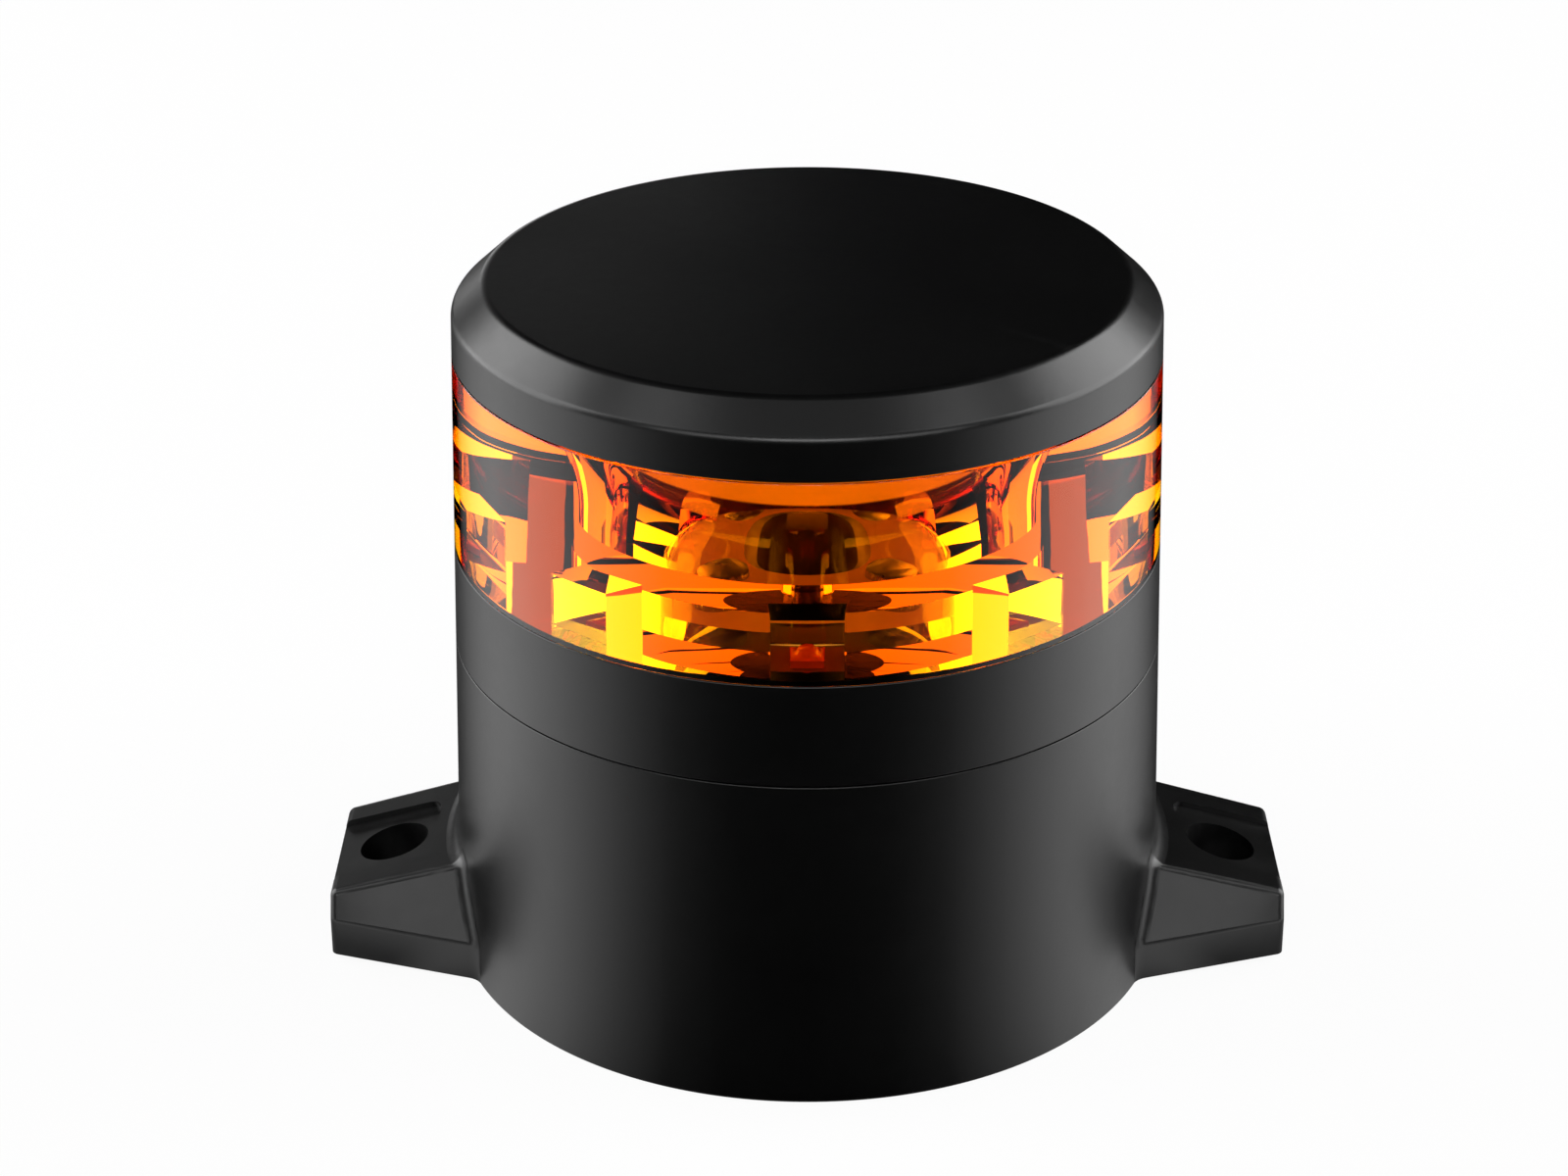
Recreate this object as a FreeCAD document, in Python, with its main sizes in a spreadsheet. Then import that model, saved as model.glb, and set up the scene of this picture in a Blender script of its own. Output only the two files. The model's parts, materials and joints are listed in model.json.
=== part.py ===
"""LED beacon: a black moulded base with two mounting ears, a collar, a solid amber drum lens and a cap.

Millimetres, +Z up. The origin is the centre of the foot, on the surface that the beacon is bolted to.
The ears lie along X. Light from a ring of upward LEDs turns outwards on the lens's funnel.
"""
import FreeCAD, Part
import math
import os
import re
import Sketcher

# Driving sizes: each is set by itself and written once.
SIZES = {
    # Outer form
    "foot_radius": 46, "draft": 1.5, "base_height": 43, "seam_gap": 0.4, "collar_height": 12.7,
    "lens_height": 25.35, "cap_height": 9.05, "cap_flat_radius": 39.7, "shoulder_drop": 3.7,
    "cap_top_round": 1.6, "shoulder_round": 1.4, "edge_bevel": 0.35, "cap_gap": 0.1,
    # Mounting ears
    "ear_reach": 61.8, "ear_root_x": 38, "ear_root_half": 19, "ear_tip_half": 12.7, "ear_wall": 5,
    "ear_lift": 1, "ear_root_height": 15.6, "ear_tip_height": 9.4, "ear_root_ridge": 12.1,
    "ear_tip_ridge": 11.3, "ear_edge_round": 1.1, "ear_root_round": 2.4, "mount_spacing": 109,
    "mount_hole": 9, "seat_from_hole": 6.2, "seat_half": 7.4, "seat_corner": 2, "seat_slope": 15,
    "seat_depth": 0.8,
    # Base shell, plate and bosses
    "bore_radius": 41.5, "plate_seat_radius": 43.2, "plate_thick": 3, "plate_inset": 0.5, "seal_thick": 0.8,
    "plate_screw_inset": 3.5, "boss_radius": 4, "boss_height": 13, "lug_drop": 9, "lug_thick": 4.5,
    "lug_length": 9.9, "lug_half": 4.7, "collar_screw_inset": 5.2, "seal_setback": 1, "slip": 0.2,
    "hole_slip": 0.15,
    # Screws
    "screw_radius": 1.5, "screw_head_radius": 2.8, "screw_head": 1.7, "plate_screw_length": 10,
    "collar_screw_length": 12, "sink_screw_length": 7, "board_screw_length": 5, "tie_radius": 2,
    "tie_head_radius": 4, "tie_head": 3, "tie_reach": 9,
    # Cable inlet and vent in the plate
    "grommet_flange": 8, "grommet_neck": 5.8, "grommet_lip": 1.5, "cable_bore": 3.2, "vent_inset": 14,
    "vent_radius": 4.5, "vent_flange": 6, "vent_flange_thick": 1.2,
    # Driver board and what it carries
    "driver_lift": 14.5, "driver_radius": 30, "board_thick": 1.6, "standoff_circle": 25,
    "standoff_radius": 2.6, "inductor_x": 13, "inductor_radius": 7, "inductor_high": 8,
    "inductor_waist": 4.6, "inductor_cheek": 1.6, "inductor_lip": 0.6, "capacitor_circle": 15,
    "capacitor_radius": 4.5, "capacitor_high": 11, "capacitor_lip": 0.4, "capacitor_groove": 1.5,
    "chip_half": 5, "chip_high": 1.4, "chip_circle": 13, "switch_circle": 23,
    "switch_half_x": 2.6, "switch_half_y": 3.4, "switch_high": 2.4, "terminal_x": 14, "terminal_half_x": 4.5,
    "terminal_half_y": 7, "terminal_high": 9, "terminal_well": 1.8, "terminal_pitch": 7, "wire_circle": 22,
    "wire_radius": 1.1, "terminal_well_depth": 6,
    # Collar, heat sink and LED board
    "spigot_depth": 4.7, "spigot_wall": 3.3, "ledge_width": 9.9, "ledge_below": 1.4, "sink_radius": 38.3,
    "sink_drop": 7.6, "sink_thick": 4, "sink_screw_circle": 34.8, "fin_count": 16, "fin_thick": 1.6,
    "fin_inner": 12, "fin_gap": 1, "fin_drop": 10, "pad_thick": 0.5, "pad_setback": 2, "led_board_hole": 9,
    "led_board_screw_inset": 5.5, "post_radius": 7,
    # Lens: solid amber drum with a funnel above and one pocket for each LED below
    "lens_spigot": 41.9, "lens_spigot_inner": 39, "lens_spigot_depth": 4.1, "lens_seal_thick": 1,
    "lens_foot_gap": 0.4, "hollow_radius": 19, "hollow_height": 2.9, "funnel_neck": 18.5,
    "funnel_depth": 19.15, "funnel_radius": 19.5, "funnel_flat": 12, "funnel_step": 1, "neck_depth": 3,
    "rim_spigot": 41.2, "rim_inner": 38.5, "rim_height": 2.7, "rim_step": 2,
    "led_count": 8, "led_circle": 31, "pocket_deep": 3.5, "pocket_half": 4, "pocket_high": 6.5,
    "led_half": 1.8, "led_high": 0.9, "led_dome": 1.4, "led_dome_top": 0.9, "led_dome_high": 0.9,
    # Cap
    "skirt_inner": 41.5, "cap_seal_thick": 0.8, "cap_cavity": 37.5, "cap_roof": 2.7, "cap_boss": 4.8,
    "boss_gap": 0.3, "insert_radius": 3.1, "insert_length": 10, "rib_count": 8, "rib_thick": 1.6,
    # Counts, and the angles at which the circles of screws and parts start
    "screw_count": 4, "pair": 2, "plate_screw_turn": 45, "sink_screw_turn": 45, "led_screw_turn": 45,
    "wire_turn": 11.25, "capacitor_turn": 90, "switch_turn": 67.5, "led_turn": 0,
}

# Levels and radii that follow from the driving sizes.
LEVELS = {
    "slope": "tan(draft)",
    "base_top_radius": "foot_radius - base_height * slope",
    "collar_low": "base_height + seam_gap",
    "collar_low_radius": "foot_radius - collar_low * slope",
    "lens_low": "collar_low + collar_height",
    "lens_low_radius": "foot_radius - lens_low * slope",
    "lens_top": "lens_low + lens_height",
    "lens_top_radius": "foot_radius - lens_top * slope",
    "cap_low": "lens_top + cap_gap",
    "cap_low_radius": "foot_radius - cap_low * slope",
    "cap_top": "lens_top + cap_height",
    "shoulder_level": "cap_top - shoulder_drop",
    "shoulder_radius": "foot_radius - shoulder_level * slope",
    "mount_x": "mount_spacing / 2",
    "mount_radius": "mount_hole / 2",
    "ear_fall": "(ear_root_height - ear_tip_height) / (ear_reach - ear_root_x)",
    "mount_top": "ear_tip_height + (ear_reach - mount_x) * ear_fall",
    "plate_screw_circle": "bore_radius - plate_screw_inset",
    "vent_circle": "plate_screw_circle - vent_inset",
    "collar_screw_circle": "bore_radius - collar_screw_inset",
    "lug_inner": "bore_radius - lug_length",
    "lug_high": "base_height - lug_drop",
    "lug_low": "lug_high - lug_thick",
    "plate_top": "plate_inset + plate_thick",
    "plate_seat": "plate_top + seal_thick",
    "boss_top": "plate_seat + boss_height",
    "pilot_radius": "screw_radius + hole_slip",
    "screw_hole": "screw_radius + hole_slip * 2",
    "head_hole": "screw_head_radius + hole_slip * 2",
    "head_well": "screw_head + hole_slip",
    "driver_level": "plate_top + driver_lift",
    "driver_top": "driver_level + board_thick",
    "sink_seat": "lens_low - sink_drop",
    "sink_top": "sink_seat + sink_thick",
    "pad_top": "sink_top + pad_thick",
    "pad_inner": "hollow_radius - pad_setback",
    "led_board_screw_circle": "hollow_radius - led_board_screw_inset",
    "led_floor": "pad_top + board_thick",
    "spigot_radius": "bore_radius - slip",
    "spigot_low": "collar_low - spigot_depth",
    "ledge_low": "collar_low - ledge_below",
    "ledge_radius": "bore_radius - ledge_width",
    "fin_outer": "ledge_radius - fin_gap",
    "lens_seat_radius": "lens_spigot + slip",
    "lens_spigot_low": "lens_low - lens_spigot_depth",
    "lens_seal_low": "lens_spigot_low - lens_seal_thick",
    "lens_foot": "led_floor + lens_foot_gap",
    "hollow_top": "led_floor + hollow_height",
    "rim_top": "lens_top + rim_height",
    "cap_seat": "rim_top + cap_seal_thick",
    "cap_ceiling": "cap_top - cap_roof",
    "funnel_top": "rim_top - rim_step",
    "funnel_start": "funnel_top - funnel_depth",
    "funnel_floor": "funnel_start - neck_depth",
    "funnel_rise": "sqrt(funnel_radius * funnel_radius - funnel_depth * funnel_depth)",
    "funnel_rim": "funnel_neck + funnel_radius - funnel_rise",
    "boss_low": "funnel_floor + boss_gap",
    "tie_bore": "tie_radius + hole_slip",
    "fin_half": "fin_thick / 2",
    "rib_half": "rib_thick / 2",
    "terminal_well_y": "terminal_pitch / 2",
    "wire_hole": "wire_radius + hole_slip",
}

doc = FreeCAD.newDocument("beacon")
known = {}
pieces = []


def make_sheet(name, cells):
    """A sheet with one alias per row; a row's text is a plain number, or a formula that starts with '='."""
    sheet = doc.addObject("Spreadsheet::Sheet", name)
    for row, (alias, text) in enumerate(cells.items(), start=1):
        sheet.set(f"A{row}", alias)
        sheet.set(f"B{row}", text)
        sheet.setAlias(f"B{row}", alias)
    doc.recompute()
    known.update({alias: float(sheet.get(alias)) for alias in cells})
    return sheet


def with_sheets(text, sheets=(("Sizes", SIZES), ("Levels", LEVELS))):
    """A formula of plain aliases, with each alias given its sheet's name."""
    def place(match):
        word = match.group()
        return next((f"{name}.{word}" for name, cells in sheets if word in cells), word)
    return re.sub(r"[a-z]\w*", place, text)


make_sheet("Sizes", {alias: str(number) for alias, number in SIZES.items()})
formulas = {alias: "=" + with_sheets(text, (("Sizes", SIZES),)) for alias, text in LEVELS.items()}
make_sheet("Levels", formulas)


def value(text):
    """The number that a sum of aliases such as '-seat_half' or 'mount_x + slip' stands for."""
    terms = re.findall(r"([+-]?)\s*([a-z]\w*)", text)
    return sum(-known[name] if sign == "-" else known[name] for sign, name in terms)


def bind(owner, path, text):
    owner.setExpression(path, with_sheets(text))


def make_body(label):
    """A body of the document that becomes one node."""
    body = doc.addObject("PartDesign::Body", label)
    body.Label = label
    body.AllowCompound = True
    pieces.append(body)
    return body


def origin_feature(body, role):
    return next(feature for feature in body.Origin.OriginFeatures if feature.Role == role)


def make_sketch(body, name, role, level=None, spin=None):
    """A sketch on one of the body's own planes, lifted along its normal and turned about the axis."""
    sketch = body.newObject("Sketcher::SketchObject", name)
    sketch.AttachmentSupport = (origin_feature(body, role), [""])
    sketch.MapMode = "FlatFace"
    if level:
        bind(sketch, "AttachmentOffset.Base.z", level)
    if spin:
        upright = FreeCAD.Vector(0, 0, 1) if role == "XY_Plane" else FreeCAD.Vector(0, 1, 0)
        sketch.AttachmentOffset = FreeCAD.Placement(FreeCAD.Vector(), FreeCAD.Rotation(upright, value(spin)))
        bind(sketch, "AttachmentOffset.Rotation.Angle", spin)
    return sketch


def pin(sketch, edge, end, x, y):
    """Hold an edge's end at the place that two sums of aliases give."""
    for kind, axis, text in (("DistanceX", -2, x), ("DistanceY", -1, y)):
        if text == "0":
            sketch.addConstraint(Sketcher.Constraint("PointOnObject", edge, end, axis))
        else:
            index = sketch.addConstraint(Sketcher.Constraint(kind, -1, 1, edge, end, value(text)))
            bind(sketch, f"Constraints[{index}]", text)


def place_of(point):
    return FreeCAD.Vector(value(point[0]), value(point[1]), 0)


def arc_between(start, end, radius, side):
    """The smaller arc of a radius from start to end; side is 1 where its centre lies left of the chord."""
    chord = end - start
    lift = math.sqrt(radius * radius - chord.Length ** 2 / 4)
    normal = FreeCAD.Vector(-chord.y, chord.x, 0).normalize()
    centre = (start + end) / 2 + normal * (side * lift)
    middle = centre - normal * (side * radius)
    return Part.Arc(start, middle, end)


def draw_outline(sketch, points, arcs=None):
    """A closed outline through points; arcs gives the radius and side of the edges that are round."""
    arcs = arcs or {}
    ends = []
    for i, point in enumerate(points):
        start = place_of(point)
        end = place_of(points[(i + 1) % len(points)])
        if i in arcs:
            radius, side = arcs[i]
            edge = sketch.addGeometry(arc_between(start, end, value(radius), side))
            # An arc is stored anticlockwise, so its ends change over where its centre is on the right
            ends.append((edge, 1, 2) if side == 1 else (edge, 2, 1))
            index = sketch.addConstraint(Sketcher.Constraint("Radius", edge, value(radius)))
            bind(sketch, f"Constraints[{index}]", radius)
        else:
            ends.append((sketch.addGeometry(Part.LineSegment(start, end)), 1, 2))
    for i, (edge, first, _) in enumerate(ends):
        before, _, last = ends[i - 1]
        sketch.addConstraint(Sketcher.Constraint("Coincident", before, last, edge, first))
        pin(sketch, edge, first, *points[i])


def draw_circle(sketch, x, y, radius):
    circle = Part.Circle(FreeCAD.Vector(value(x), value(y), 0), FreeCAD.Vector(0, 0, 1), value(radius))
    edge = sketch.addGeometry(circle)
    index = sketch.addConstraint(Sketcher.Constraint("Radius", edge, value(radius)))
    bind(sketch, f"Constraints[{index}]", radius)
    pin(sketch, edge, 3, x, y)


def keep(body, feature):
    """Make a feature the body's last one, and work its shape out."""
    body.Tip = feature
    doc.recompute()
    return feature


def repeat_round(body, feature, count):
    """Copies of a feature spaced evenly round the beacon's axis."""
    pattern = body.newObject("PartDesign::PolarPattern", feature.Name + "_round")
    pattern.Originals = [feature]
    pattern.Axis = (origin_feature(body, "Z_Axis"), [""])
    pattern.Angle = 360
    bind(pattern, "Occurrences", count)
    return keep(body, pattern)


def mirror_over(body, feature):
    """The same feature on the other ear."""
    both = body.newObject("PartDesign::Mirrored", feature.Name + "_both")
    both.Originals = [feature]
    both.MirrorPlane = (origin_feature(body, "YZ_Plane"), [""])
    return keep(body, both)


def turn(body, name, points, kind="Revolution", axis=None, count=None, arcs=None, spin=None):
    """Turn an outline of (radius, height) points about Z, or about an upright line at x = axis."""
    sketch = make_sketch(body, name + "_profile", "XZ_Plane", spin=spin)
    draw_outline(sketch, points, arcs)
    feature = body.newObject("PartDesign::" + kind, name)
    feature.Profile = sketch
    feature.ReferenceAxis = (sketch, ["V_Axis"])
    if axis:
        low = FreeCAD.Vector(value(axis), 0, 0)
        line = sketch.addGeometry(Part.LineSegment(low, low + FreeCAD.Vector(0, 1, 0)), True)
        sketch.addConstraint(Sketcher.Constraint("Vertical", line))
        pin(sketch, line, 1, axis, "0")
        feature.ReferenceAxis = (sketch, ["Axis0"])
    feature.Angle = 360
    keep(body, feature)
    return repeat_round(body, feature, count) if count else feature


def ring(low, high, inner, outer):
    """Outline of a plain ring, or of a disc where inner is 0."""
    return [(inner, low), (outer, low), (outer, high), (inner, high)]


def pegs(body, name, circle, radius, low, high, count, kind="Revolution", spin=None):
    """Round pegs, or holes where kind is Groove, on a circle about the beacon's axis."""
    outline = ring(low, high, circle, f"{circle} + {radius}")
    return turn(body, name, outline, kind=kind, axis=circle, count=count, spin=spin)


def block(body, name, x_low, x_high, half_y, low, height, count=None, spin=None, kind="Pad"):
    """A block from x_low to x_high, twice half_y wide, that stands height tall on a level, added or cut."""
    sketch = make_sketch(body, name + "_plan", "XY_Plane", low, spin)
    draw_outline(sketch, [(x_low, "-" + half_y), (x_high, "-" + half_y), (x_high, half_y), (x_low, half_y)])
    feature = body.newObject("PartDesign::" + kind, name)
    feature.Profile = sketch
    feature.Reversed = kind == "Pocket"
    bind(feature, "Length", height)
    keep(body, feature)
    return repeat_round(body, feature, count) if count else feature


def edges_where(feature, test, low=-1.0, high=1000.0):
    """Names of the edges whose sampled points all pass a test and whose top lies between two heights."""
    names = []
    for number, edge in enumerate(feature.Shape.Edges, start=1):
        span = edge.LastParameter - edge.FirstParameter
        samples = [edge.valueAt(edge.FirstParameter + span * k / 6) for k in range(7)]
        if low < edge.BoundBox.ZMax < high and all(test(point) for point in samples):
            names.append(f"Edge{number}")
    return names


def round_edges(body, name, names, radius):
    before = body.Tip
    feature = body.newObject("PartDesign::Fillet", name)
    feature.Base = (before, names)
    bind(feature, "Radius", radius)
    return keep(body, feature)


def bevel_edges(body, name, names, size):
    before = body.Tip
    feature = body.newObject("PartDesign::Chamfer", name)
    feature.Base = (before, names)
    bind(feature, "Size", size)
    return keep(body, feature)


def near(a, b, slack=0.02):
    return abs(a - b) < slack


def on_circle(radius, level):
    """A test for points of the circle of a radius about the beacon's axis at a level."""
    return lambda p: near(math.hypot(p.x, p.y), value(radius)) and near(p.z, value(level))


def screws(label, circle, seat, up, length, spin=None):
    """Four pan-head screws whose heads sit on a level, with shanks that point up or down."""
    away, along = ("-", "+") if up else ("+", "-")
    head = f"{seat} {away} screw_head"
    end = f"{seat} {along} {length}"
    turn(make_body(label), label + "_shape", [
        (circle, head), (f"{circle} + screw_head_radius", head), (f"{circle} + screw_head_radius", seat),
        (f"{circle} + screw_radius", seat), (f"{circle} + screw_radius", end), (circle, end),
    ], axis=circle, count="screw_count", spin=spin)


def make_ear_sections(body):
    """Sections of an ear inside the drum and at its tip: upright sides, sloping flanks and a flat ridge."""
    sections = []
    ends = (("root", "ear_root_x", "0", "ear_wall"), ("tip", "ear_reach", "ear_lift", "ear_lift + ear_wall"))
    for end, x, low, wall_top in ends:
        sketch = make_sketch(body, f"ear_{end}_section", "YZ_Plane", x)
        half, ridge, top = (f"ear_{end}_{word}" for word in ("half", "ridge", "height"))
        draw_outline(sketch, [
            ("-" + half, low), (half, low), (half, wall_top), (ridge, top), ("-" + ridge, top),
            ("-" + half, wall_top),
        ])
        sections.append(sketch)
    return sections


def add_ears(body):
    """Two ears lofted out of the drum, with rounded corners and a soft root."""
    root, tip = make_ear_sections(body)
    ear = body.newObject("PartDesign::AdditiveLoft", "ear")
    ear.Profile = root
    ear.Sections = [tip]
    ear.Ruled = True
    keep(body, ear)
    both = mirror_over(body, ear)
    reach, wall, lift = value("ear_reach"), value("ear_wall"), value("ear_lift")
    foot, slope = value("foot_radius"), value("slope")

    def share(p):
        """How far a point lies from the ear's root towards its tip."""
        return (abs(p.x) - value("ear_root_x")) / (reach - value("ear_root_x"))

    def between(p, size):
        """An ear's half width, ridge or height at a point, which runs evenly from root to tip."""
        return value(f"ear_root_{size}") * (1 - share(p)) + value(f"ear_tip_{size}") * share(p)

    def on_crest(p):
        return near(abs(p.y), between(p, "ridge")) and near(p.z, between(p, "height"))

    def on_wall_top(p):
        return near(abs(p.y), between(p, "half")) and near(p.z, wall + lift * share(p))

    tips = edges_where(both, lambda p: near(abs(p.x), reach), low=wall / 2)
    outer = tips + edges_where(both, on_crest) + edges_where(both, on_wall_top)
    round_edges(body, "ear_edges", outer, "ear_edge_round")
    round_edges(body, "ear_roots", edges_where(
        body.Tip, lambda p: near(math.hypot(p.x, p.y), foot - slope * p.z),
        low=wall / 2, high=value("ear_root_height")), "ear_root_round")


def cut_ear_seats(body):
    """A sloping bolt seat sunk into each ear that runs out at its tip, and the bolt holes."""
    sketch = make_sketch(body, "seat_plan", "XY_Plane")
    sketch.AttachmentOffset = FreeCAD.Placement(
        FreeCAD.Vector(), FreeCAD.Rotation(FreeCAD.Vector(0, 1, 0), value("seat_slope")))
    bind(sketch, "AttachmentOffset.Base.x", "mount_x")
    bind(sketch, "AttachmentOffset.Base.z", "mount_top - seat_depth")
    bind(sketch, "AttachmentOffset.Rotation.Angle", "seat_slope")
    corner, beyond_tip = "-seat_from_hole + seat_corner", "ear_reach - ear_root_x"
    draw_outline(sketch, [
        (corner, "-seat_half"), (beyond_tip, "-seat_half"), (beyond_tip, "seat_half"),
        (corner, "seat_half"), ("-seat_from_hole", "seat_half - seat_corner"),
        ("-seat_from_hole", "-seat_half + seat_corner"),
    ], arcs={3: ("seat_corner", 1), 5: ("seat_corner", 1)})
    seat = body.newObject("PartDesign::Pocket", "bolt_seat")
    seat.Profile = sketch
    seat.Reversed = True
    bind(seat, "Length", "ear_root_height")
    keep(body, seat)
    mirror_over(body, seat)
    holes = make_sketch(body, "bolt_holes_plan", "XY_Plane")
    draw_circle(holes, "mount_x", "0", "mount_radius")
    draw_circle(holes, "-mount_x", "0", "mount_radius")
    drilled = body.newObject("PartDesign::Pocket", "bolt_holes")
    drilled.Profile = holes
    drilled.Reversed = True
    bind(drilled, "Length", "ear_root_height")
    keep(body, drilled)


def make_base_housing():
    """The base: a drafted drum with two ears, open below for the plate and above for the collar."""
    body = make_body("base_housing")
    turn(body, "base_drum", [
        ("0", "0"), ("foot_radius", "0"), ("base_top_radius", "base_height"), ("0", "base_height"),
    ])
    add_ears(body)
    cut_ear_seats(body)
    turn(body, "base_bore", ring("plate_seat", "base_height", "0", "bore_radius"), kind="Groove")
    turn(body, "plate_recess", ring("0", "plate_seat", "0", "plate_seat_radius"), kind="Groove")
    pegs(body, "plate_bosses", "plate_screw_circle", "boss_radius", "plate_seat", "boss_top", "screw_count",
         spin="plate_screw_turn")
    block(body, "collar_lugs", "lug_inner", "bore_radius + slip", "lug_half", "lug_low", "lug_thick",
          "screw_count")
    pegs(body, "plate_pilots", "plate_screw_circle", "pilot_radius", "plate_seat",
         "plate_top + plate_screw_length", "screw_count", "Groove", "plate_screw_turn")
    pegs(body, "lug_holes", "collar_screw_circle", "screw_hole", "lug_low", "lug_high", "screw_count",
         "Groove")
    seam = edges_where(body.Tip, on_circle("base_top_radius", "base_height"))
    bevel_edges(body, "seam_edge", seam, "edge_bevel")


def make_base_plate():
    """The closing plate with its screw wells, cable inlet and vent hole."""
    body = make_body("base_plate")
    turn(body, "plate", ring("plate_inset", "plate_top", "0", "plate_seat_radius - slip"))
    lip = "plate_inset + grommet_lip"
    turn(body, "cable_inlet", [
        ("0", "plate_inset"), ("grommet_flange + slip", "plate_inset"), ("grommet_flange + slip", lip),
        ("grommet_neck + hole_slip", lip), ("grommet_neck + hole_slip", "plate_top"), ("0", "plate_top"),
    ], kind="Groove")
    pegs(body, "vent_hole", "vent_circle", "vent_radius", "plate_inset", "plate_top", None, "Groove",
         "plate_screw_turn")
    at, well = "plate_screw_circle", "plate_inset + head_well"
    turn(body, "screw_wells", [
        (at, "plate_inset"), (at + " + head_hole", "plate_inset"), (at + " + head_hole", well),
        (at + " + screw_hole", well), (at + " + screw_hole", "plate_top"), (at, "plate_top"),
    ], kind="Groove", axis=at, count="screw_count", spin="plate_screw_turn")


def make_plate_fittings():
    """Seal, screws, cable grommet and vent of the closing plate."""
    turn(make_body("base_seal"), "base_seal_ring",
         ring("plate_top", "plate_seat", "bore_radius + slip", "plate_seat_radius - slip"))
    screws("base_plate_screws", "plate_screw_circle", "plate_inset + head_well", True, "plate_screw_length",
           spin="plate_screw_turn")
    low, neck_low = "plate_inset + hole_slip", "plate_inset + grommet_lip"
    turn(make_body("cable_grommet"), "grommet", [
        ("cable_bore", low), ("grommet_flange", low), ("grommet_flange", neck_low),
        ("grommet_neck", neck_low), ("grommet_neck", "plate_top"), ("grommet_flange", "plate_top"),
        ("grommet_neck", "plate_top + grommet_lip"), ("cable_bore", "plate_top + grommet_lip"),
    ])
    at, flange_top = "vent_circle", "plate_top + vent_flange_thick"
    side, flange = at + " + vent_radius - hole_slip", at + " + vent_flange"
    turn(make_body("vent_plug"), "vent", [
        (at, low), (side, low), (side, "plate_top"), (flange, "plate_top"), (flange, flange_top),
        (at, flange_top),
    ], axis=at, spin="plate_screw_turn")


def make_driver():
    """The driver board on its standoffs, with the parts that it carries."""
    body = make_body("driver_board")
    turn(body, "driver_disc", ring("driver_level", "driver_top", "0", "driver_radius"))
    pegs(body, "driver_holes", "standoff_circle", "screw_hole", "driver_level", "driver_top", "screw_count",
         "Groove")
    body = make_body("board_standoffs")
    pegs(body, "standoff", "standoff_circle", "standoff_radius", "plate_top", "driver_level", "screw_count")
    pegs(body, "standoff_thread", "standoff_circle", "pilot_radius", "driver_level - board_screw_length",
         "driver_level", "screw_count", "Groove")
    screws("board_screws", "standoff_circle", "driver_top", False, "board_screw_length")
    at, top = "inductor_x", "driver_top + inductor_high"
    low_cheek, high_cheek = "driver_top + inductor_cheek", top + " - inductor_cheek"
    side, waist = at + " + inductor_radius", at + " + inductor_waist"
    turn(make_body("inductor_core"), "bobbin", [
        (at, "driver_top"), (side, "driver_top"), (side, low_cheek), (waist, low_cheek), (waist, high_cheek),
        (side, high_cheek), (side, top), (at, top),
    ], axis=at)
    turn(make_body("inductor_winding"), "winding", ring(
        low_cheek + " + hole_slip", high_cheek + " - hole_slip", waist + " + hole_slip",
        side + " - inductor_lip"), axis=at)
    at, top, groove = "capacitor_circle", "driver_top + capacitor_high", "driver_top + capacitor_groove"
    side, inset = at + " + capacitor_radius", at + " + capacitor_radius - capacitor_lip"
    turn(make_body("capacitors"), "can", [
        (at, "driver_top"), (side, "driver_top"), (side, groove), (inset, groove + " + capacitor_lip"),
        (side, groove + " + capacitor_lip + capacitor_lip"), (side, top + " - capacitor_lip"), (inset, top),
        (at, top),
    ], axis=at, count="pair", spin="capacitor_turn")
    block(make_body("controller_chip"), "chip", "-chip_circle - chip_half", "-chip_circle + chip_half",
          "chip_half", "driver_top", "chip_high")
    block(make_body("power_switches"), "switch", "switch_circle - switch_half_x",
          "switch_circle + switch_half_x", "switch_half_y", "driver_top", "switch_high", "pair",
          "switch_turn")
    body = make_body("input_terminal")
    block(body, "terminal", "-terminal_x - terminal_half_x", "-terminal_x + terminal_half_x",
          "terminal_half_y", "driver_level - terminal_high", "terminal_high")
    wells = make_sketch(body, "terminal_wells_plan", "XY_Plane", "driver_level - terminal_high")
    draw_circle(wells, "-terminal_x", "terminal_well_y", "terminal_well")
    draw_circle(wells, "-terminal_x", "-terminal_well_y", "terminal_well")
    bored = body.newObject("PartDesign::Pocket", "terminal_wells")
    bored.Profile = wells
    bored.Reversed = True
    bind(bored, "Length", "terminal_well_depth")
    keep(body, bored)
    pegs(make_body("link_wires"), "link_wire", "wire_circle", "wire_radius", "driver_top", "pad_top", "pair",
         spin="wire_turn")


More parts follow.
